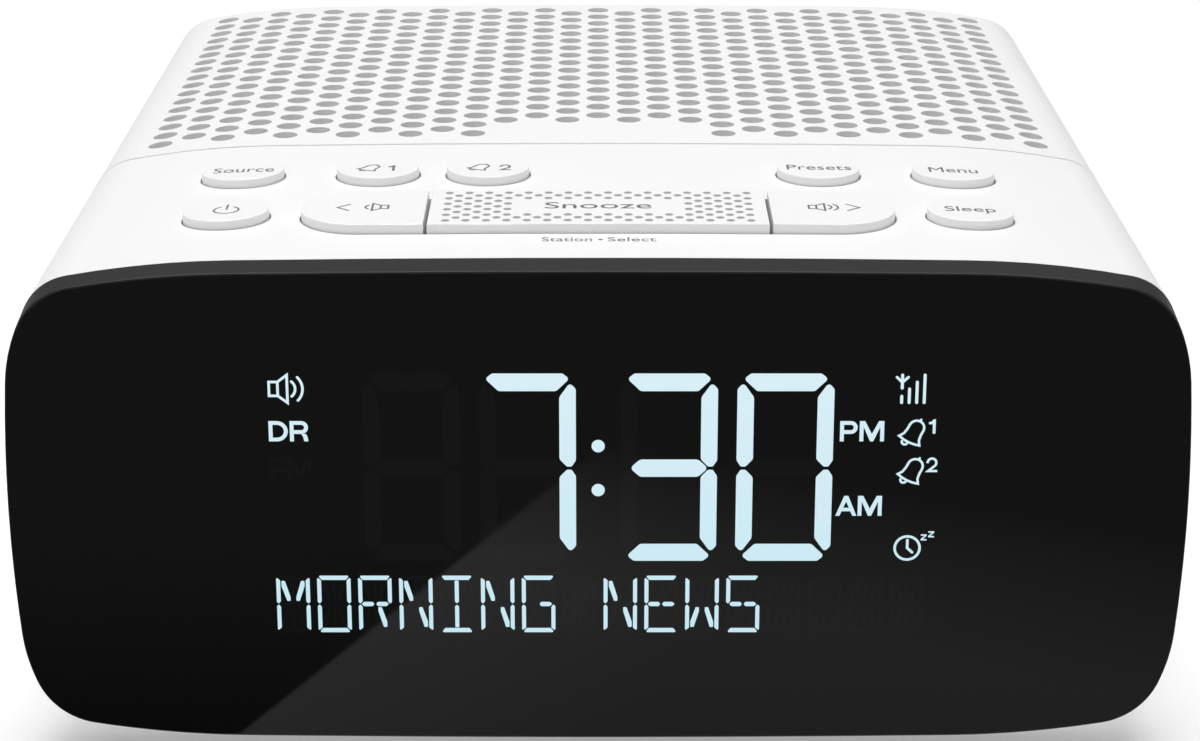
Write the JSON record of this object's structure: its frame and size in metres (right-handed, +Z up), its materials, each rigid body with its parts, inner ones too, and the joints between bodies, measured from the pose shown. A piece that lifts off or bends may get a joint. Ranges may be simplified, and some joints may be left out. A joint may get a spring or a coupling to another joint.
{
  "type": "clock radio",
  "caption": "Compact bedside clock radio: white squircle sleeve, gloss black front with a segment display, button deck and a hole-pattern grille over an upward speaker.",
  "frame": {"origin": "on the ground, under the middle of the case's width and depth", "axes": "+X to the right seen from the front, +Y towards the back panel, +Z up; the display faces -Y"},
  "size_m": [0.1526, 0.164, 0.068],
  "materials": {
    "white_case": "satin moulded white ABS",
    "button_white": "satin moulded white ABS",
    "smoked_front": "high gloss smoked black acrylic",
    "back_white": "finely textured white ABS",
    "rubber_grey": "matt dark rubber",
    "steel": "zinc-plated steel",
    "display_glass": "polished liquid-crystal cell",
    "guide_clear": "clear acrylic plate",
    "holder_white": "matt white plastic",
    "contact_rubber": "silicone strip",
    "lamp_white": "white lamp body",
    "board_green": "green solder mask",
    "ribbon": "flat cable film",
    "switch_black": "matt black plastic",
    "plunger_brown": "matt brown plastic",
    "chip_black": "matt epoxy",
    "can_blue": "bright can with a dark sleeve",
    "tin": "tinned steel",
    "socket_black": "matt black plastic",
    "scrim": "fine light grey scrim",
    "foam": "soft black foam",
    "basket_black": "black painted steel",
    "ferrite": "dull dark ferrite",
    "copper": "enamelled copper",
    "paper_black": "pressed black paper",
    "spider_cloth": "resin-dipped cloth"
  },
  "bodies": {
    "case": {"front_panel": "smoked_front", "front_shell": "white_case", "rear_shell": "white_case", "rear_panel": "back_white", "feet": "rubber_grey", "case_screws": "steel", "rear_panel_screws": "steel", "display_screws": "steel", "key_board_screws": "steel", "main_board_screws": "steel", "speaker_screws": "steel", "lcd_glass": "display_glass", "light_guide": "guide_clear", "display_holder": "holder_white", "contact_strip": "contact_rubber", "backlight_leds": "lamp_white", "display_board": "board_green", "key_board": "board_green", "main_board": "board_green", "display_ribbon": "ribbon", "key_switches": "switch_black", "tuner_can": "tin", "board_chips": "chip_black", "capacitors": "can_blue", "power_socket": "socket_black", "headphone_socket": "socket_black", "usb_socket": "tin", "aerial_grommet": "rubber_grey", "grille_cloth": "scrim", "speaker_gasket": "foam", "speaker_basket": "basket_black", "speaker_top_plate": "steel", "speaker_magnet": "ferrite", "speaker_yoke": "steel", "speaker_spider": "spider_cloth", "speaker_surround": "foam"},
    "source": {"source_button": "button_white", "source_plunger": "plunger_brown"},
    "menu": {"menu_button": "button_white", "menu_plunger": "plunger_brown"},
    "power": {"power_button": "button_white", "power_plunger": "plunger_brown"},
    "sleep": {"sleep_button": "button_white", "sleep_plunger": "plunger_brown"},
    "alarm_1": {"alarm_1_button": "button_white", "alarm_1_plunger": "plunger_brown"},
    "alarm_2": {"alarm_2_button": "button_white", "alarm_2_plunger": "plunger_brown"},
    "presets": {"presets_button": "button_white", "presets_plunger": "plunger_brown"},
    "volume_down": {"volume_down_button": "button_white", "volume_down_plunger": "plunger_brown"},
    "snooze": {"snooze_button": "button_white", "snooze_plunger": "plunger_brown"},
    "volume_up": {"volume_up_button": "button_white", "volume_up_plunger": "plunger_brown"},
    "cone": {"speaker_cone": "paper_black", "dust_cap": "paper_black", "voice_coil": "copper"}
  },
  "joints": [
    {"name": "source_press", "type": "slide", "parent": "case", "child": "source", "axis": [0, 0, -1], "range_m": [0, 0.0006], "stiffness_N_per_m": 2500},
    {"name": "menu_press", "type": "slide", "parent": "case", "child": "menu", "axis": [0, 0, -1], "range_m": [0, 0.0006], "stiffness_N_per_m": 2500},
    {"name": "power_press", "type": "slide", "parent": "case", "child": "power", "axis": [0, 0, -1], "range_m": [0, 0.0006], "stiffness_N_per_m": 2500},
    {"name": "sleep_press", "type": "slide", "parent": "case", "child": "sleep", "axis": [0, 0, -1], "range_m": [0, 0.0006], "stiffness_N_per_m": 2500},
    {"name": "alarm_1_press", "type": "slide", "parent": "case", "child": "alarm_1", "axis": [0, 0, -1], "range_m": [0, 0.0006], "stiffness_N_per_m": 2500},
    {"name": "alarm_2_press", "type": "slide", "parent": "case", "child": "alarm_2", "axis": [0, 0, -1], "range_m": [0, 0.0006], "stiffness_N_per_m": 2500},
    {"name": "presets_press", "type": "slide", "parent": "case", "child": "presets", "axis": [0, 0, -1], "range_m": [0, 0.0006], "stiffness_N_per_m": 2500},
    {"name": "volume_down_press", "type": "slide", "parent": "case", "child": "volume_down", "axis": [0, 0, -1], "range_m": [0, 0.0006], "stiffness_N_per_m": 2500},
    {"name": "snooze_press", "type": "slide", "parent": "case", "child": "snooze", "axis": [0, 0, -1], "range_m": [0, 0.0006], "stiffness_N_per_m": 2500},
    {"name": "volume_up_press", "type": "slide", "parent": "case", "child": "volume_up", "axis": [0, 0, -1], "range_m": [0, 0.0006], "stiffness_N_per_m": 2500},
    {"name": "cone_travel", "type": "slide", "parent": "case", "child": "cone", "axis": [0, 0, 1], "range_m": [-0.001, 0.001], "stiffness_N_per_m": 1200, "deforming": ["speaker_surround", "speaker_spider"]}
  ]
}
